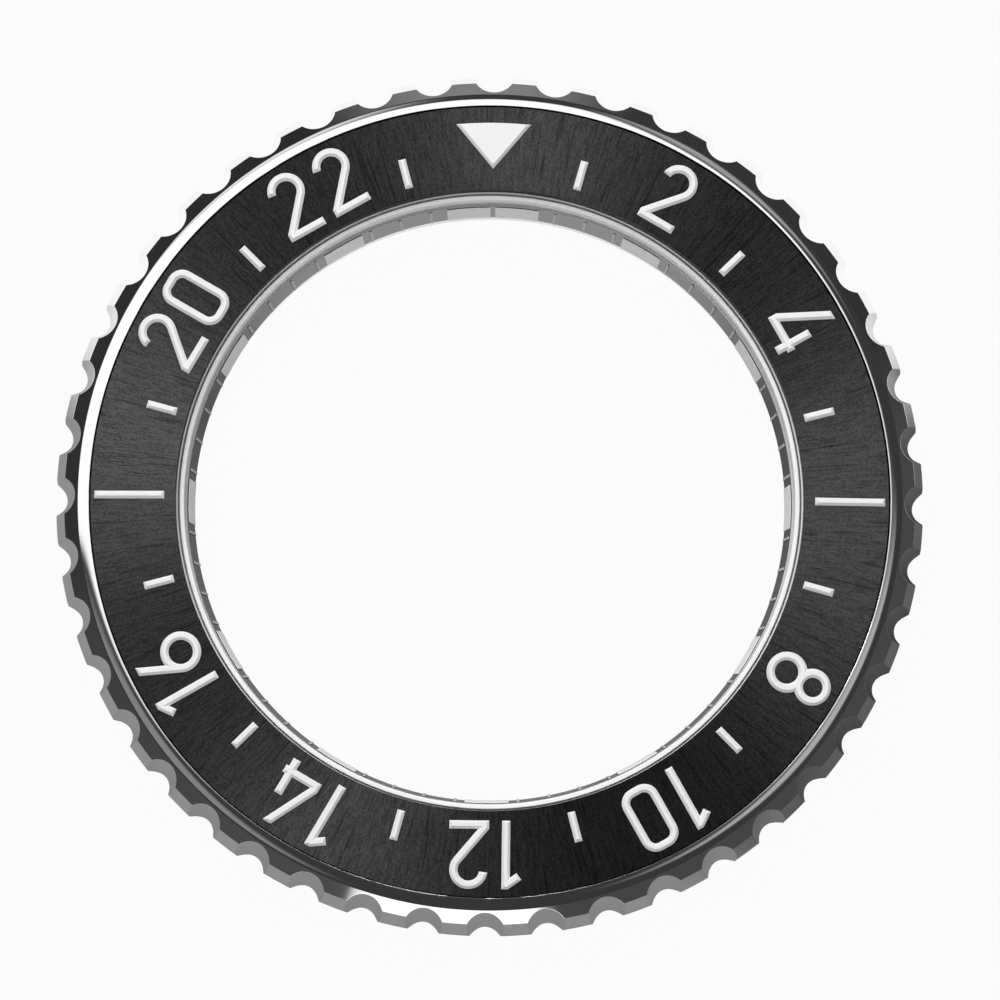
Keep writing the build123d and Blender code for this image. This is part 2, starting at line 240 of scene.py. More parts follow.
@dataclass(frozen=True)
class RingNoise:
    """Noise stretched along a ring with no seam: its rates per radian and per millimetre, and its look."""

    along: float
    across: float
    up: float
    detail: float = 1.0
    rough: float = 0.5

    def on(self, shader: Shader) -> Value:
        """Returns: the noise on a shader's surface, about 0 to 1."""
        sockets = {
            0: shader.x / shader.radius * self.along,
            1: shader.y / shader.radius * self.along,
            2: shader.radius * self.across + shader.z * self.up,
        }
        place = shader.node("ShaderNodeCombineXYZ", None, sockets)[0]
        return shader.noise(place, 1.0, self.detail, self.rough)


@dataclass(frozen=True)
class EvenNoise:
    """Noise alike in all directions: its scale per millimetre, and its look."""

    scale: float
    detail: float = 2.0
    rough: float = 0.5

    def on(self, shader: Shader) -> Value:
        """Returns: the noise on a shader's surface, about 0 to 1."""
        return shader.noise(shader.place, self.scale, self.detail, self.rough)


@dataclass(frozen=True)
class PolishedSteel:
    """Mirror-polished steel with faint turned streaks and soft smudges.

    Inside lip_edge it is a satin lip. From there to pocket_edge, below pocket_top, it is a rough pocket whose
    colour is darkened as painted shade in the gap beside the insert.
    """

    name: str
    dark: float = 0.87
    light: float = 0.92
    tint: float = 0.004
    rough: float = 0.035
    cloud_rough: float = 0.03
    streak_rough: float = 0.015
    streak_depth: float = 0.00012
    streaks: RingNoise = RingNoise(2.0, 26.0, 26.0, 3.0, 0.6)
    clouds: EvenNoise = EvenNoise(0.35, 3.0)
    lip_edge: float = 14.815
    lip_blend: float = 0.005
    lip_rough: float = 0.36
    lip_metal: float = 0.2
    pocket_edge: float = 18.895
    pocket_blend: float = 0.004
    pocket_top: float = 4.66
    pocket_top_blend: float = 0.02
    # The pocket's colour level is painted shade for the gap beside the insert.
    pocket_shade_level: float = 0.08
    pocket_rough: float = 0.6

    def material(self) -> bpy.types.Material:
        """Returns: the finish as a material."""
        shader = Shader(self.name)
        streaks, clouds = self.streaks.on(shader), self.clouds.on(shader)
        inside = 1 - shader.step(shader.radius, self.lip_edge, self.lip_edge + self.lip_blend)
        below = 1 - shader.step(shader.z, self.pocket_top, self.pocket_top + self.pocket_top_blend)
        within = 1 - shader.step(shader.radius, self.pocket_edge, self.pocket_edge + self.pocket_blend)
        # The pocket mask: the rough pocket below the band, darkened as painted shade in the gap.
        painted_shade_pocket = below * (1 - inside) * within
        polish = self.rough + clouds * self.cloud_rough + streaks * self.streak_rough
        bright = shader.mix(clouds, grey(self.dark), grey(self.light, self.tint))
        return shader.surface(
            Base_Color=shader.mix(painted_shade_pocket, bright, grey(self.pocket_shade_level)),
            Metallic=1 - inside * (1 - self.lip_metal),
            Roughness=polish + inside * self.lip_rough + painted_shade_pocket * self.pocket_rough,
            Normal=shader.bump(streaks, self.streak_depth),
        )


@dataclass(frozen=True)
class DarkMirror:
    """Dark mirror finish with a bright machined ledge above a height, in millimetres."""

    name: str
    dark: float = 0.1445
    light: float = 0.1955
    tint: float = 0.002
    rough: float = 0.09
    streak_rough: float = 0.05
    streak_depth: float = 0.0002
    streaks: RingNoise = RingNoise(1.5, 20.0, 20.0, 3.0, 0.6)
    ledge_level: float = 0.85
    ledge_height: float = 3.15
    ledge_blend: float = 0.02
    ledge_rough: float = 0.2

    def material(self) -> bpy.types.Material:
        """Returns: the finish as a material."""
        shader = Shader(self.name)
        streaks = self.streaks.on(shader)
        ledge = shader.step(shader.z, self.ledge_height, self.ledge_height + self.ledge_blend)
        mirror = shader.mix(streaks, grey(self.dark), grey(self.light, self.tint))
        return shader.surface(
            Base_Color=shader.mix(ledge, mirror, grey(self.ledge_level)),
            Metallic=1.0,
            Roughness=self.rough + streaks * self.streak_rough + ledge * self.ledge_rough,
            Normal=shader.bump(streaks, self.streak_depth),
        )


@dataclass(frozen=True)
class BrushedInsert:
    """Black-coated metal, brushed outwards from the centre in fine lines."""

    name: str
    dark: float = 0.0273
    light: float = 0.0567
    tint: float = 0.0006
    rough: float = 0.5
    line_rough: float = 0.08
    spread: float = 0.8
    line_depth: float = 0.0006
    grain: RingNoise = RingNoise(280.0, 9.0, 0.0)
    grain_share: float = 0.55
    lines: RingNoise = RingNoise(170.0, 1.1, 0.0, 2.0, 0.6)
    light_from: float = 0.36
    light_to: float = 0.64
    scores: RingNoise = RingNoise(110.0, 0.35, 0.0)
    score_from: float = 0.3
    score_to: float = 0.38
    score_share: float = 0.5
    score_level: float = 0.0105

    def material(self) -> bpy.types.Material:
        """Returns: the finish as a material."""
        shader = Shader(self.name)
        lines = self.lines.on(shader)
        pattern = self.grain.on(shader) * self.grain_share + lines * (1 - self.grain_share)
        light = shader.step(pattern, self.light_from, self.light_to)
        score = 1 - shader.step(self.scores.on(shader), self.score_from, self.score_to)
        coat = shader.mix(light, grey(self.dark), grey(self.light, self.tint))
        return shader.surface(
            Base_Color=shader.mix(score * self.score_share, coat, grey(self.score_level)),
            Metallic=1.0,
            Roughness=self.rough + lines * self.line_rough,
            Anisotropic=self.spread,
            Normal=shader.bump(pattern, self.line_depth),
        )


@dataclass(frozen=True)
class Grained:
    """Paint, turned metal or plastic, wire or film: its grain shows in relief, roughness and colour.

    The grain has grain_share of the colour's change, and soft patches have the rest.
    """

    name: str
    dark: float
    light: float
    rough: float
    metallic: float = 0.0
    grain: RingNoise | EvenNoise = EvenNoise(5.0, 4.0, 0.6)
    grain_share: float = 1.0
    grain_rough: float = 0.12
    depth: float = 0.0008
    patches: EvenNoise = EvenNoise(0.5)
    tint: float = 0.0

    def material(self) -> bpy.types.Material:
        """Returns: the finish as a material."""
        shader = Shader(self.name)
        grain = self.grain.on(shader)
        share = grain * self.grain_share + self.patches.on(shader) * (1 - self.grain_share)
        return shader.surface(
            Base_Color=shader.mix(share, grey(self.dark), grey(self.light, self.tint)),
            Metallic=self.metallic,
            Roughness=self.rough + grain * self.grain_rough,
            Normal=shader.bump(grain, self.depth),
        )


def finishes() -> dict[Slot, bpy.types.Material]:
    """Makes every finish once. Returns: the material of each slot."""
    lines, wide_lines = (RingNoise(0.6, rate, rate, 3.0, 0.7) for rate in (22.0, 9.0))
    film_grain, nylon_grain = (EvenNoise(scale, 4.0, 0.6) for scale in (2.0, 3.0))
    turned = partial(Grained, grain=lines, grain_share=0.7, grain_rough=0.14, depth=0.0012, tint=0.002)
    metal, worn = partial(turned, metallic=1.0), partial(Grained, metallic=1.0)
    paint_grain, paint_patches = EvenNoise(9.0, 3.0, 0.6), EvenNoise(0.8)
    satin = partial(Grained, grain=paint_grain, grain_share=0.0, depth=0.0012, patches=paint_patches)
    looks = (
        (Slot.BEZEL, PolishedSteel("polished_bezel_steel")),
        (Slot.INSERT, BrushedInsert("brushed_black_insert")),
        (Slot.MARKER, satin("satin_white_marker", dark=0.78, light=0.85, rough=0.4)),
        (Slot.ADHESIVE, Grained("adhesive_film", dark=0.048, light=0.069, rough=0.6, grain=film_grain)),
        (Slot.CLICK, metal("hardened_click_steel", dark=0.528, light=0.636, rough=0.24)),
        (Slot.SEAT, metal("turned_seat_steel", dark=0.5808, light=0.6996, rough=0.16, depth=0.0006)),
        (Slot.FLANGE, DarkMirror("dark_flange_mirror")),
        (Slot.PRINT, satin("flange_white_print", dark=0.84, light=0.91, rough=0.3)),
        (Slot.FAINT_PRINT, satin("flange_faint_print", dark=0.46, light=0.53, rough=0.3)),
        (Slot.GASKET, turned("turned_gasket_nylon", dark=0.836, light=0.97, rough=0.3, grain=wide_lines)),
        (Slot.SPRING, worn("drawn_spring_wire", dark=0.44, light=0.6325, rough=0.28)),
        (Slot.FRICTION, Grained("black_friction_nylon", dark=0.032, light=0.046, rough=0.45, grain=nylon_grain)),
        (Slot.BALL, worn("polished_ball_steel", dark=0.6, light=0.8625, rough=0.07, depth=0.0001)),
    )
    return {slot: look.material() for slot, look in looks}


class RoundRepeat:
    """Geometry Nodes tree that repeats a slice round the Z axis and joins it into one closed ring."""

    def __init__(self) -> None:
        """Builds the tree, with inputs for the slice, the count, the merging and the material."""
        tree = bpy.data.node_groups.new("repeat_round_axis", "GeometryNodeTree")
        self.tree = tree
        self.inputs: dict[str, str] = {}
        kinds = {"Slice": "Geometry", "Count": "Int", "Merge Distance": "Float", "Material": "Material"}
        for name, kind in kinds.items():
            given = tree.interface.new_socket(name=name, in_out="INPUT", socket_type=f"NodeSocket{kind}")
            self.inputs[name] = given.identifier
        tree.interface.new_socket(name="Ring", in_out="OUTPUT", socket_type="NodeSocketGeometry")
        self._wire()

    def _wire(self) -> None:
        """Adds the nodes: a point for each slice, turned by its index, realized, merged and dressed."""
        new, link = self.tree.nodes.new, self.tree.links.new
        given, result = new("NodeGroupInput"), new("NodeGroupOutput")
        points, index = new("GeometryNodePoints"), new("GeometryNodeInputIndex")
        share, angle = new("ShaderNodeMath"), new("ShaderNodeMath")
        share.operation, angle.operation = "DIVIDE", "MULTIPLY"
        angle.inputs[1].default_value = -2 * pi
        euler = new("ShaderNodeCombineXYZ")
        place, copies = new("GeometryNodeInstanceOnPoints"), new("GeometryNodeRealizeInstances")
        merge = new("GeometryNodeMergeByDistance")
        real, dress = new("GeometryNodeRealizeInstances"), new("GeometryNodeSetMaterial")
        link(given.outputs["Count"], points.inputs["Count"])
        link(index.outputs[0], share.inputs[0])
        link(given.outputs["Count"], share.inputs[1])
        link(share.outputs[0], angle.inputs[0])
        link(angle.outputs[0], euler.inputs["Z"])
        link(given.outputs["Slice"], place.inputs["Instance"])
        link(euler.outputs[0], place.inputs["Rotation"])
        link(given.outputs["Merge Distance"], merge.inputs["Distance"])
        link(given.outputs["Material"], dress.inputs["Material"])
        chain = (points, place, copies, merge, real, dress, result)
        for first, second in zip(chain, chain[1:]):
            link(first.outputs[0], second.inputs[0])

    def apply(self, piece: bpy.types.Object, count: int, material: bpy.types.Material) -> None:
        """Makes a slice a whole ring. Args: piece: the slice. count: of slices. material: the finish."""
        modifier = piece.modifiers.new("round", "NODES")
        modifier.node_group = self.tree
        modifier[self.inputs["Count"]] = count
        modifier[self.inputs["Merge Distance"]] = MERGE_DISTANCE
        modifier[self.inputs["Material"]] = material
        settle(piece)


def new_object(name: str, data: bpy.types.ID) -> bpy.types.Object:
    """Makes an object at the origin. Args: name: its name. data: what it holds. Returns: it, linked."""
    made = bpy.data.objects.new(name, data)
    bpy.context.scene.collection.objects.link(made)
    return made


def settle(piece: bpy.types.Object) -> None:
    """Replaces an object's mesh by what its modifiers make, and removes them. Args: piece: the object."""
    bpy.context.view_layer.update()
    graph = bpy.context.evaluated_depsgraph_get()
    mesh = bpy.data.meshes.new_from_object(piece.evaluated_get(graph))
    piece.modifiers.clear()
    mesh.name = piece.name
    piece.data = mesh


def face_outwards(mesh: bpy.types.Mesh, sharp: float) -> None:
    """Turns a mesh's faces outwards. Args: mesh: closed. sharp: edges over this many degrees are sharp."""
    work = bmesh.new()
    work.from_mesh(mesh)
    if work.calc_volume(signed=True) < 0:
        bmesh.ops.reverse_faces(work, faces=work.faces)
    open_edges = sum(1 for edge in work.edges if not edge.is_manifold)
    if open_edges:
        log.warning("%s has %d open edges", mesh.name, open_edges)
    work.to_mesh(mesh)
    work.free()
    mesh.shade_smooth()
    mesh.set_sharp_from_angle(angle=radians(sharp))


def slice_object(name: str, rows: Sequence[Sequence[RingPoint]]) -> bpy.types.Object:
    """Makes the object of one slice of a ring.

    Args:
        name: the piece's name.
        rows: for each of the outline's points, a row from one side of the slice to the other.

    Returns:
        The object, linked to the scene.
    """
    width = len(rows[0])
    points = [
        Vector((radius * sin(angle), radius * cos(angle), height)) * MM
        for row in rows
        for radius, angle, height in row
    ]
    faces = []
    for low in range(len(rows)):
        high = (low + 1) % len(rows)
        for column in range(width - 1):
            first, second = low * width + column, high * width + column
            faces.append((first, first + 1, second + 1, second))
    mesh = bpy.data.meshes.new(name)
    mesh.from_pydata(points, [], faces)
    return new_object(name, mesh)


def soften(outline: Outline, corners: Sequence[int], size: float) -> Outline:
    """Rounds corners of a closed outline, with supports that keep the flats flat.

    Args:
        outline: radius and height pairs.
        corners: the numbers of the corners to round.
        size: how far the rounding reaches along each side, in millimetres.

    Returns:
        The new outline.
    """
    points: Outline = []
    for index, corner in enumerate(outline):
        if index in corners:
            after = outline[(index + 1) % len(outline)]
            points += rounded_corner(outline[index - 1], corner, after, size)
        else:
            points.append(corner)
    return points


def stepped(radius: float, height: float, *moves: float) -> Outline:
    """A stepped outline. Args: radius, height: its start. moves: heights and radii in turn. Returns: it."""
    points = [(radius, height)]
    for number, move in enumerate(moves):
        radius, height = (move, height) if number % 2 else (radius, move)
        points.append((radius, height))
    return points


def towards(start: tuple[float, float], end: tuple[float, float], way: float) -> tuple[float, float]:
    """Goes from a point to another. Args: start, end: these. way: how far, at most SUPPORT_SHARE of it.

    Returns:
        The point reached.
    """
    length = hypot(end[0] - start[0], end[1] - start[1])
    share = min(way / length, SUPPORT_SHARE) if length else 0.0
    return (start[0] + (end[0] - start[0]) * share, start[1] + (end[1] - start[1]) * share)


def rounded_corner(
    before: tuple[float, float], corner: tuple[float, float], after: tuple[float, float], size: float
) -> Outline:
    """Rounds a corner. Args: before, corner, after: points. size: the reach. Returns: five points."""
    start, end = towards(corner, before, size), towards(corner, after, size)
    middle = tuple((corner[k] * 2 + start[k] + end[k]) / 4 for k in (0, 1))
    return [towards(corner, before, 2 * size), start, middle, end, towards(corner, after, 2 * size)]


class Workshop:
    """Makes pieces, dresses them and hands them to the frame."""

    def __init__(self) -> None:
        """Makes the finishes and the tree that repeats slices."""
        self.materials = finishes()
        self.repeat = RoundRepeat()

    def ring(self, name: str, outline: Outline, count: int, slot: Slot) -> bpy.types.Object:
        """Turns an outline into a ring. Args: name, outline, slot: its own. count: segments. Returns: it."""
        half = pi / count
        rows = [[(radius, side, height) for side in (-half, half)] for radius, height in outline]
        piece = slice_object(name, rows)
        self.repeat.apply(piece, count, self.materials[slot])
        face_outwards(piece.data, RING_SHARP)
        return piece

    def hand_over(self, piece: bpy.types.Object, body: Body, slot: Slot, *nodes: str) -> None:
        """Ties a piece to its body and CAD nodes, which it hides. Args: piece, body, nodes: these. slot: not
        used.
        """
        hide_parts(*nodes)
        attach(piece, body.value)
        triangles = sum(len(face.vertices) - 2 for face in piece.data.polygons)
        log.info("%s: %d triangles on %s, for %s", piece.name, triangles, body.value, ", ".join(nodes))

    def dress_node(self, node: str, slot: Slot) -> None:
        """Gives a CAD node that stays its finish. Args: node: its name. slot: the finish."""
        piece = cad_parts[node]
        if not piece.material_slots:
            piece.data.materials.append(self.materials[slot])
        for held in piece.material_slots:
            held.material = self.materials[slot]
        log.info("%s: kept, dressed as %s", node, slot.value)


@dataclass(frozen=True)
class BezelRing:
    """The polished steel ring: crowned band, bevelled teeth with cone-cut notches, and pocket."""

    lip_radius: float = 14.72
    lip_outer_radius: float = 14.81
    journal_radius: float = 15.65
    friction_groove_radius: float = 15.98
    bezel_groove_radius: float = 15.81
    click_recess_inner: float = 16.18
    click_recess_outer: float = 17.82
    pocket_radius: float = 18.89
    band_inner_radius: float = 18.90
    band_outer_radius: float = 19.45
    corner_radius: float = 20.09
    overall_radius: float = 20.50
    base: float = 2.40
    click_recess_top: float = 3.10
    rebate_top: float = 2.55
    groove_low: float = 2.81
    groove_high: float = 3.15
    skirt_chamfer: float = 0.30
    skirt_top: float = 3.30
    web: float = 3.38
    pocket_floor: float = 3.88
    corner_height: float = 4.15
    band_outer_height: float = 4.63
    band_inner_height: float = 4.70
    lip_top: float = 4.14
    band_crown: float = 0.02
    edge_break: float = 0.01
    edge_round: float = 0.022
    lip_round: float = 0.03
    notch_count: int = 44
    notch_radius: float = 1.07
    notch_depth: float = 0.44
    notch_taper: float = 12.0
    notch_columns: int = 7
    rim_columns: tuple[float, ...] = (0.945, 0.975, 1.0)
    tooth_columns: tuple[float, ...] = (1.035, 1.075, 1.3, 1.65, 2.0)
    notch_reach: float = 1.2
    blend_reach: float = 1.6
    crown_steps: int = 7
    side_rows: int = 3
    halvings: int = 40
    sharp: float = 38.0

    def cone(self, height: float) -> float:
        """Returns: the notch cone's radius at a height."""
        return self.notch_radius + (height - self.corner_height) * tan(radians(self.notch_taper))

    def place(self) -> float:
        """Returns: the distance of the notch cone's axis from the ring's."""
        return self.corner_radius - self.notch_depth + self.notch_radius

    def rim(self, radius: float, height: float) -> float:
        """Half the angle that the notch opens. Args: radius, height: where. Returns: radians."""
        place = self.place()
        cosine = (radius**2 + place**2 - self.cone(height) ** 2) / (2 * radius * place)
        return acos(max(-1.0, min(1.0, cosine)))

    def wall(self, angle: float, height: float) -> float:
        """The notch wall's radius. Args: angle: from the notch's middle. height: where. Returns: it."""
        place = self.place()
        reach = self.cone(height) ** 2 - (place * sin(angle)) ** 2
        return place * cos(angle) - sqrt(max(0.0, reach))

    def side(self, height: float) -> float:
        """The tooth's own radius. Args: height: at or below its corner. Returns: millimetres."""
        if height >= self.skirt_top:
            share = (self.corner_height - height) / (self.corner_height - self.skirt_top)
            return self.corner_radius + (self.overall_radius - self.corner_radius) * share
        return self.overall_radius - max(0.0, self.base + self.skirt_chamfer - height)

    def bevel(self, share: float) -> tuple[float, float]:
        """A point of the tooth's bevel. Args: share: 0 at the corner, 1 at the band. Returns: the point."""
        radius = self.corner_radius + (self.band_outer_radius - self.corner_radius) * share
        height = self.corner_height + (self.band_outer_height - self.corner_height) * share
        return (radius, height)

    def rim_share(self, angle: float) -> float:
        """Where the notch's rim crosses the bevel. Args: angle: where. Returns: the bevel's share."""
        low, high = 0.0, 1.0
        for _ in range(self.halvings):
            middle = (low + high) / 2
            radius, height = self.bevel(middle)
            if self.wall(angle, height) < radius:
                low = middle
            else:
                high = middle
        return low

    def shares(self) -> list[float]:
        """Column places: under 1 in the notch, 1 on its rim, 2 in the tooth's middle. Returns: shares."""
        spread = atan2(
            self.side(self.corner_height) * sin(self.rim(self.corner_radius, self.corner_height)),
            self.place() - self.corner_radius,
        )
        inside = [sin(spread * k / self.notch_columns) / sin(spread) for k in range(self.notch_columns)]
        half = sorted([*inside, *self.rim_columns, *self.tooth_columns])
        return [-share for share in reversed(half[1:])] + half

    def turn(self, share: float, height: float) -> float:
        """The clock angle of a column. Args: share: its place. height: where. Returns: radians."""
        rim = self.rim(self.side(min(height, self.corner_height)), min(height, self.corner_height))
        size = abs(share)
        angle = size * rim if size <= 1 else rim + (size - 1) * (pi / self.notch_count - rim)
        return angle if share >= 0 else -angle

    def upper(self, share: float) -> list[RingPoint]:
        """A column from the band to just under the corner. Args: share: its place. Returns: its points."""
        angle = self.turn(share, self.corner_height)
        inside = abs(share) < 1
        start = self.rim_share(abs(angle)) if inside else 0.0
        rim = self.bevel(start)
        low = self.corner_height - 2 * self.edge_round
        foot = (self.wall(angle, low) if inside else self.side(low), low)
        ahead = self.bevel(1.0)
        points = self.crown()
        points += [towards(ahead, rim, 2 * self.edge_round)]
        points += [((ahead[0] + rim[0]) / 2, (ahead[1] + rim[1]) / 2)]
        points += rounded_corner(ahead, rim, foot, self.edge_round)
        points.append(foot)
        return [(radius, angle, height) for radius, height in points]

    def crown(self) -> Outline:
        """The polished band, which falls outwards in a shallow arc. Returns: its points."""
        points = []
        for k in range(self.crown_steps + 1):
            share = k / self.crown_steps
            radius = self.band_inner_radius + (self.band_outer_radius - self.band_inner_radius) * share
            height = self.band_inner_height + (self.band_outer_height - self.band_inner_height) * share
            points.append((radius, height + self.band_crown * 4 * share * (1 - share)))
        return points

    def lower(self, share: float) -> list[RingPoint]:
        """A column from the corner down to the base. Args: share: its place. Returns: its points."""
        step = 2 * self.edge_round
        chamfer_top = self.base + self.skirt_chamfer
        row = (self.corner_height - self.skirt_top) / self.side_rows
        heights = [self.corner_height - step - row * k for k in range(1, self.side_rows)]
        for edge in (self.skirt_top, chamfer_top):
            heights += [edge + step, edge, edge - step]
        heights += [self.base + step, self.base]
        points = []
        for height in heights:
            angle = self.turn(share, height)
            own = self.side(height)
            cut = self.wall(angle, height) if abs(share) <= self.notch_reach else inf
            points.append((self.blend(own, cut), angle, height))
        return points

    def blend(self, first: float, second: float) -> float:
        """The smaller radius, rounded where they meet. Args: first, second: the radii. Returns: it."""
        size = self.blend_reach * self.edge_round
        painted_light_ahead = max(size - abs(first - second), 0.0) / size
        return min(first, second) - painted_light_ahead * painted_light_ahead * size / 4

    def inside(self) -> Outline:
        """The underside, bore, lip and pocket, from the click recess to the band. Returns: points."""
        outline = stepped(
            *(self.click_recess_outer, self.base),
            *(self.click_recess_top, self.click_recess_inner),
            *(self.base, self.friction_groove_radius),
            *(self.rebate_top, self.journal_radius),
            *(self.groove_low, self.bezel_groove_radius),
            *(self.groove_high, self.journal_radius),
            *(self.web, self.lip_radius),
            *(self.lip_top, self.lip_outer_radius),
            *(self.pocket_floor, self.pocket_radius),
            self.band_inner_height - self.edge_break,
        )
        corner = outline.index((self.lip_radius, self.lip_top))
        return soften(outline, (corner, corner + 1), self.lip_round)

    def build(self, shop: Workshop) -> None:
        """Builds and hands over the ring. Args: shop: the workshop."""
        columns = []
        for share in self.shares():
            column = self.upper(share) + self.lower(share)
            angle = self.turn(share, self.corner_height)
            column += [(radius, angle, height) for radius, height in self.inside()]
            columns.append(column)
        rows = [list(row) for row in zip(*columns)]
        piece = slice_object("bezel_ring_fine", rows)
        shop.repeat.apply(piece, self.notch_count, shop.materials[Slot.BEZEL])
        face_outwards(piece.data, self.sharp)
        shop.hand_over(piece, Body.BEZEL, Slot.BEZEL, "bezel_ring")


@dataclass(frozen=True)
class Insert:
    """The brushed black cone with its raised white markers."""

    bore: float = 14.82
    bore_wall_top: float = 4.55
    rim: float = 14.79
    shoulder: float = 14.80
    radius: float = 18.82
    floor: float = 3.96
    edge_height: float = 4.56
    crest: float = 4.752
    rim_height: float = 4.737
    edge_round: float = 0.015
    segments: int = 360

    def outline(self) -> Outline:
        """Returns: the insert's closed outline."""
        corners = [
            (self.bore, self.floor),
            (self.radius, self.floor),
            (self.radius, self.edge_height),
            (self.shoulder, self.crest),
            (self.rim, self.rim_height),
            (self.bore, self.bore_wall_top),
        ]
        return soften(corners, (3, 4), self.edge_round)

    def build(self, shop: Workshop) -> None:
        """Builds the cone and dresses its markers and film. Args: shop: the workshop."""
        piece = shop.ring("insert_cone_fine", self.outline(), self.segments, Slot.INSERT)
        shop.hand_over(piece, Body.BEZEL, Slot.INSERT, "insert_ring")
        shop.dress_node("insert_adhesive", Slot.ADHESIVE)
        shop.dress_node("marker_triangle", Slot.MARKER)
        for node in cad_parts:
            if node.startswith(("numeral_", "tick_", "index_")):
                shop.dress_node(node, Slot.MARKER)


@dataclass(frozen=True)
class Opening:
    """What shows inside the bezel: gasket sleeve, mirror flange and its printed marks."""

    crystal_radius: float = 14.42
    gasket_radius: float = 14.63
    gasket_foot_radius: float = 14.82
    gasket_lap_radius: float = 14.58
    gasket_foot: float = 2.67
    gasket_step: float = 3.20
    gasket_shoulder: float = 3.32
    gasket_chamfer: float = 4.10
    gasket_top: float = 4.14
    gasket_chamfer_width: float = 0.04
    flange_foot_radius: float = 14.02
    flange_top_radius: float = 14.30
    flange_lap_radius: float = 14.56
    flange_outer_radius: float = 14.80
    flange_foot: float = 1.80
    flange_top: float = 3.18
    edge_round: float = 0.02
    segments: int = 360

    def gasket(self) -> Outline:
        """Returns: the gasket's closed outline."""
        corners = [
            (self.gasket_lap_radius, self.gasket_foot),
            (self.gasket_foot_radius, self.gasket_foot),
            (self.gasket_foot_radius, self.gasket_shoulder),
            (self.gasket_radius, self.gasket_shoulder),
            (self.gasket_radius, self.gasket_top),
            (self.crystal_radius + self.gasket_chamfer_width, self.gasket_top),
            (self.crystal_radius, self.gasket_chamfer),
            (self.crystal_radius, self.gasket_step),
            (self.gasket_lap_radius, self.gasket_step),
        ]
        return soften(corners, (4, 5, 6, 7), self.edge_round)

    def flange(self) -> Outline:
        """Returns: the flange ring's closed outline."""
        corners = [
            (self.flange_foot_radius, self.flange_foot),
            (self.flange_outer_radius, self.flange_foot),
            (self.flange_outer_radius, self.gasket_foot),
            (self.flange_lap_radius, self.gasket_foot),
            (self.flange_lap_radius, self.flange_top),
            (self.flange_top_radius, self.flange_top),
        ]
        return soften(corners, (0, 5), self.edge_round)

    def build(self, shop: Workshop) -> None:
        """Builds the two rings and dresses the marks. Args: shop: the workshop."""
        gasket = shop.ring("gasket_sleeve_fine", self.gasket(), self.segments, Slot.GASKET)
        shop.hand_over(gasket, Body.SEAT, Slot.GASKET, "crystal_gasket")
        flange = shop.ring("flange_mirror_fine", self.flange(), self.segments, Slot.FLANGE)
        shop.hand_over(flange, Body.SEAT, Slot.FLANGE, "flange_ring")
        shop.dress_node("flange_hour_marks", Slot.PRINT)
        shop.dress_node("flange_minute_marks", Slot.FAINT_PRINT)


@dataclass(frozen=True)
class Seat:
    """The fixed ring under the bezel, with its ball pockets, and the hidden works in it."""

    dial_radius: float = 14.25
    collar_bore_radius: float = 14.85
    groove_radius: float = 15.28
    collar_radius: float = 15.60
    spigot_radius: float = 18.00
    flange_radius: float = 19.40
    spigot_chamfer: float = 0.15
    flange_chamfer: float = 0.10
    spigot_height: float = 1.40
    flange_step: float = 1.80
    seat_top: float = 2.30
    groove_low: float = 2.81
    groove_high: float = 3.15
    collar_top: float = 3.32
    pocket_place: float = 17.0
    pocket_radius: float = 0.54
    pocket_floor: float = 0.35
    pocket_count: int = 3
    pocket_sides: int = 48
    edge_round: float = 0.02
    segments: int = 360

    def outline(self) -> Outline:
        """Returns: the seat's closed outline."""
        corners = [
            (self.dial_radius, 0.0),
            (self.spigot_radius - self.spigot_chamfer, 0.0),
            (self.spigot_radius, self.spigot_chamfer),
            (self.spigot_radius, self.spigot_height),
            (self.flange_radius - self.flange_chamfer, self.spigot_height),
            (self.flange_radius, self.spigot_height + self.flange_chamfer),
            (self.flange_radius, self.seat_top - self.flange_chamfer),
            (self.flange_radius - self.flange_chamfer, self.seat_top),
        ]
        corners += stepped(
            *(self.collar_radius, self.seat_top),
            *(self.groove_low, self.groove_radius),
            *(self.groove_high, self.collar_radius),
            *(self.collar_top, self.collar_bore_radius),
            *(self.flange_step, self.dial_radius),
        )
        return soften(corners, (0, 1, 2, 5, 6), self.edge_round)

    def cutter(self) -> bpy.types.Object:
        """Makes the round cutters of the ball pockets. Returns: one object that holds them all."""
        work = bmesh.new()
        top = self.seat_top + self.pocket_floor
        for number in range(self.pocket_count):
            angle = (number + 0.5) * 2 * pi / self.pocket_count
            middle = Vector((sin(angle), cos(angle), 0)) * self.pocket_place * MM
            middle.z = (self.pocket_floor + top) / 2 * MM
            bmesh.ops.create_cone(
                work,
                cap_ends=True,
                segments=self.pocket_sides,
                radius1=self.pocket_radius * MM,
                radius2=self.pocket_radius * MM,
                depth=(top - self.pocket_floor) * MM,
                matrix=Matrix.Translation(middle),
            )
        mesh = bpy.data.meshes.new("pocket_cutters")
        work.to_mesh(mesh)
        work.free()
        return new_object("pocket_cutters", mesh)

    def build(self, shop: Workshop) -> None:
        """Builds the seat and dresses the works. Args: shop: the workshop."""
        piece = shop.ring("seat_ring_fine", self.outline(), self.segments, Slot.SEAT)
        cutter = self.cutter()
        pockets = piece.modifiers.new("pockets", "BOOLEAN")
        pockets.operation = "DIFFERENCE"
        pockets.object = cutter
        settle(piece)
        bpy.data.objects.remove(cutter)
        face_outwards(piece.data, RING_SHARP)
        shop.hand_over(piece, Body.SEAT, Slot.SEAT, "seat_ring")
        shop.dress_node("retaining_wire", Slot.SPRING)
        shop.dress_node("friction_ring", Slot.FRICTION)
        shop.dress_node("click_ring", Slot.CLICK)
        for number in range(1, self.pocket_count + 1):
            shop.dress_node(f"click_spring_{number}", Slot.SPRING)
            shop.dress_node(f"click_ball_{number}", Slot.BALL)


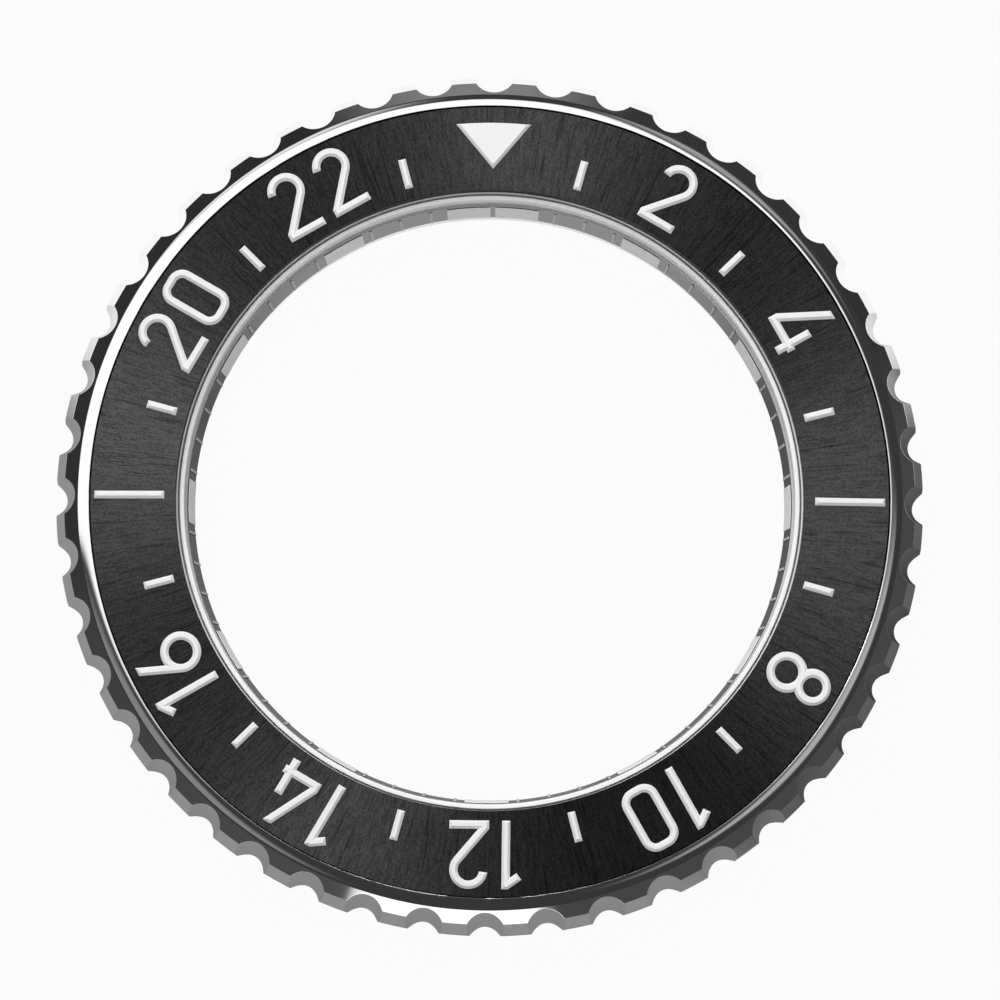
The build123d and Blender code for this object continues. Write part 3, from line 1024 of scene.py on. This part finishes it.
@dataclass(frozen=True)
class PhotoCamera:
    """The camera fitted to the photograph's circles."""

    tilt: float = 8.569
    azimuth: float = 1.156
    roll: float = 0.621
    distance: float = 335.1
    pixels_per_mm: float = 21.256
    target_x: float = 489.619
    target_y: float = 496.934
    target_height: float = 5.17
    sensor: float = 36.0
    clip_start: float = 0.01

    def build(self) -> None:
        """Makes the camera and sets it as the scene's."""
        tilt, azimuth, roll = radians(self.tilt), radians(self.azimuth), radians(self.roll)
        back = Vector((sin(tilt) * sin(azimuth), -sin(tilt) * cos(azimuth), cos(tilt)))
        right = Vector((0, 1, 0)).cross(back).normalized()
        up = back.cross(right)
        across = right * cos(roll) + up * sin(roll)
        upright = up * cos(roll) - right * sin(roll)
        place = (Vector((0, 0, self.target_height)) + back * self.distance) * MM
        data = bpy.data.cameras.new("photo_camera")
        data.sensor_width = self.sensor
        data.lens = self.pixels_per_mm * self.distance * self.sensor / PHOTO_PIXELS
        data.shift_x = (PHOTO_PIXELS / 2 - self.target_x) / PHOTO_PIXELS
        data.shift_y = (self.target_y - PHOTO_PIXELS / 2) / PHOTO_PIXELS
        data.clip_start = self.clip_start
        camera = new_object("photo_camera", data)
        turn = Matrix((across, upright, back)).transposed().to_4x4()
        camera.matrix_world = Matrix.Translation(place) @ turn
        bpy.context.scene.camera = camera
        log.info("camera: lens %.1f mm", data.lens)


@dataclass(frozen=True)
class Card:
    """A light card overhead: its sides and softness as tangents of the lean from the zenith."""

    left: float
    right: float
    front: float
    back: float
    edge: float
    level: float


@dataclass(frozen=True)
class Lamp:
    """A square soft lamp: compass and elevation in degrees, distance and size in metres, power in watts."""

    use: LampUse
    compass: float
    elevation: float
    distance: float
    size: float
    power: float

    def build(self, name: str, brushed: bpy.types.Collection) -> None:
        """Makes the lamp. Args: name: its name. brushed: the pieces that a BRUSH lamp lights alone."""
        data = bpy.data.lights.new(name, "AREA")
        data.size = self.size
        data.energy = self.power
        lamp = new_object(name, data)
        compass, elevation = radians(self.compass), radians(self.elevation)
        level = self.distance * cos(elevation)
        place = Vector((level * sin(compass), level * cos(compass), self.distance * sin(elevation)))
        lamp.location = place
        lamp.rotation_euler = place.to_track_quat("Z", "Y").to_euler()
        lamp.visible_glossy = self.use is LampUse.BRUSH
        lamp.visible_diffuse = self.use is LampUse.SHADE
        if self.use is LampUse.BRUSH:
            lamp.light_linking.receiver_collection = brushed
            lamp.light_linking.blocker_collection = brushed


@dataclass(frozen=True)
class Studio:
    """Floor that is pale to the camera, with painted light towards the back and painted shade towards the front
    and right in what the metal reflects; two soft lamps, three for the brushed pieces, and a room with light and
    dark cards.
    """

    floor_size: float = 3.0
    floor_drop: float = 0.00002
    # The floor's grey for all but diffuse rays is a dark copy of it: painted shade in reflections, while its
    # bounce light stays pale.
    floor_painted_shade_grey: float = 0.12
    floor_white_share: float = 0.96
    floor_bounce: float = 0.8
    # The reflection shares below paint light on the floor towards the back, and painted shade towards the front
    # and the right side.
    floor_painted_white_front: float = 0.2
    floor_painted_white_back: float = 1.0
    painted_white_fade_from: float = 4.0
    painted_white_fade_to: float = 12.0
    painted_shade_side_from: float = 10.0
    painted_shade_side_to: float = 18.0
    room_level: float = 0.3
    lamps: tuple[Lamp, ...] = (
        Lamp(LampUse.SHADE, -16.0, 33.0, 0.77, 0.3, 2.8),
        Lamp(LampUse.SHADE, -16.0, 78.0, 0.9, 1.0, 6.4),
        Lamp(LampUse.BRUSH, 293.4, 21.7, 1.5, 0.5, 33.0),
        Lamp(LampUse.BRUSH, 3.6, 23.5, 1.5, 0.5, 30.0),
        Lamp(LampUse.BRUSH, 192.7, 38.0, 1.5, 0.5, 15.0),
    )
    horizon_stops: tuple[tuple[float, float], ...] = (
        *((0.0, 1.0), (0.056, 1.0), (0.062, 0.06), (0.22, 0.04), (0.26, 0.025), (0.44, 0.02)),
        *((0.475, 0.17), (0.51, 0.18), (0.545, 0.03), (0.66, 0.025), (0.7, 0.05), (0.972, 0.05)),
        (0.978, 1.0),
    )
    horizon_level: float = 1.6
    overhead_from: float = 0.5
    overhead_to: float = 0.62
    least_height: float = 0.02
    dark_level: float = 0.05
    cards: tuple[Card, ...] = (
        Card(-0.85, 0.08, 0.105, 0.5, 0.02, 1.35),
        Card(-0.85, -0.15, 0.5, 0.78, 0.1, 1.0),
        Card(0.1, 0.32, -0.1, 0.13, 0.05, 0.5),
        Card(0.13, 0.28, 0.33, 0.65, 0.05, 0.4),
        Card(-0.6, -0.2, -0.3, 0.03, 0.06, 0.25),
    )

    def room(self) -> None:
        """Fills the world: white to the camera, plain to diffuse light, cards for the polished metal."""
        world = bpy.data.worlds.new("studio_room")
        world.use_nodes = True
        graph = Graph(world.node_tree)
        way = graph.node("ShaderNodeTexCoord")["Generated"]
        parts = graph.node("ShaderNodeSeparateXYZ", None, {0: way})
        x, y, z = parts[0], parts[1], parts[2]
        height = z.at_least(self.least_height)
        lean_x, lean_y = x / height, y / height
        clock = x.turn(y) / (2 * pi) + 0.5
        horizon = graph.node("ShaderNodeValToRGB", {"stops": self.horizon_stops}, {0: clock})[0]
        overhead: Any = self.dark_level
        for card in self.cards:
            across = graph.window(lean_x, card.left, card.right, card.edge)
            along = graph.window(lean_y, card.front, card.back, card.edge)
            overhead = overhead + across * along * card.level
        low = horizon * self.horizon_level
        high_share = graph.step(z, self.overhead_from, self.overhead_to)
        cards = low * (1 - high_share) + overhead * high_share
        rays = graph.node("ShaderNodeLightPath")
        polished = rays["Is Glossy Ray"]
        seen = rays["Is Camera Ray"] + rays["Is Transmission Ray"]
        level = self.room_level * (1 - polished) + cards * polished
        level = seen + level * (1 - seen)
        light = graph.node("ShaderNodeBackground", None, {"Strength": level})[0]
        graph.node("ShaderNodeOutputWorld", None, {"Surface": light})
        bpy.context.scene.world = world

    def floor(self) -> None:
        """Makes the floor: it takes the shadow, and is nearly white to the camera. In reflections it is dark
        grey, painted shade, with painted white light towards the back.
        """
        mesh = bpy.data.meshes.new("studio_floor")
        half, low = self.floor_size / 2, -self.floor_drop
        corners = [(-half, -half, low), (half, -half, low), (half, half, low), (-half, half, low)]
        mesh.from_pydata(corners, [], [(0, 1, 2, 3)])
        floor = new_object("studio_floor", mesh)
        material = bpy.data.materials.new("pale_floor")
        material.use_nodes = True
        graph = Graph(material.node_tree)
        rays = graph.node("ShaderNodeLightPath")
        # Reflections see the floor as dark grey, painted shade; bounce light sees it pale.
        bounce = graph.mix(rays["Is Diffuse Ray"], grey(self.floor_painted_shade_grey), grey(self.floor_bounce))
        matte = graph.node("ShaderNodeBsdfDiffuse", None, {"Color": bounce})[0]
        white = graph.node("ShaderNodeEmission", None, {"Color": grey(1.0), "Strength": 1.0})[0]
        place = graph.node("ShaderNodeTexCoord")["Object"]
        parts = graph.node("ShaderNodeSeparateXYZ", None, {0: place})
        # Painted light in reflections: the floor's white share rises towards the back; painted shade towards the
        # front, and fully on the right side.
        painted_light_behind = graph.step(parts[1], self.painted_white_fade_from * MM, self.painted_white_fade_to * MM)
        light = 1 - graph.step(parts[0], self.painted_shade_side_from * MM, self.painted_shade_side_to * MM)
        painted_light_ahead = light * (1 - painted_light_behind) * self.floor_painted_white_front
        painted_reflection_share = painted_light_ahead + painted_light_behind * self.floor_painted_white_back
        mirrored = rays["Is Glossy Ray"] + rays["Is Transmission Ray"]
        share = rays["Is Camera Ray"] * self.floor_white_share + mirrored * painted_reflection_share
        blend = graph.node("ShaderNodeMixShader", None, {0: share, 1: matte, 2: white})[0]
        graph.node("ShaderNodeOutputMaterial", None, {"Surface": blend})
        mesh.materials.append(material)

    def build(self, *brushed: bpy.types.Object) -> None:
        """Builds the studio and sets how the picture is shown. Args: brushed: the brushed pieces."""
        self.room()
        self.floor()
        group = bpy.data.collections.new("brushed_pieces")
        for piece in brushed:
            group.objects.link(piece)
        for number, lamp in enumerate(self.lamps, 1):
            lamp.build(f"soft_lamp_{number}", group)
        bpy.context.scene.view_settings.view_transform = "Standard"
        log.info("studio built")


def main() -> None:
    """Builds the scene in order: camera, each sub-assembly, then the studio."""
    logging.basicConfig(level=logging.INFO, format="%(name)s: %(message)s")
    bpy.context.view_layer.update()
    PhotoCamera().build()
    shop = Workshop()
    for part in (BezelRing(), Insert(), Opening(), Seat()):
        part.build(shop)
    Studio().build(bpy.data.objects["insert_cone_fine"])


if __name__ == "__main__":
    main()
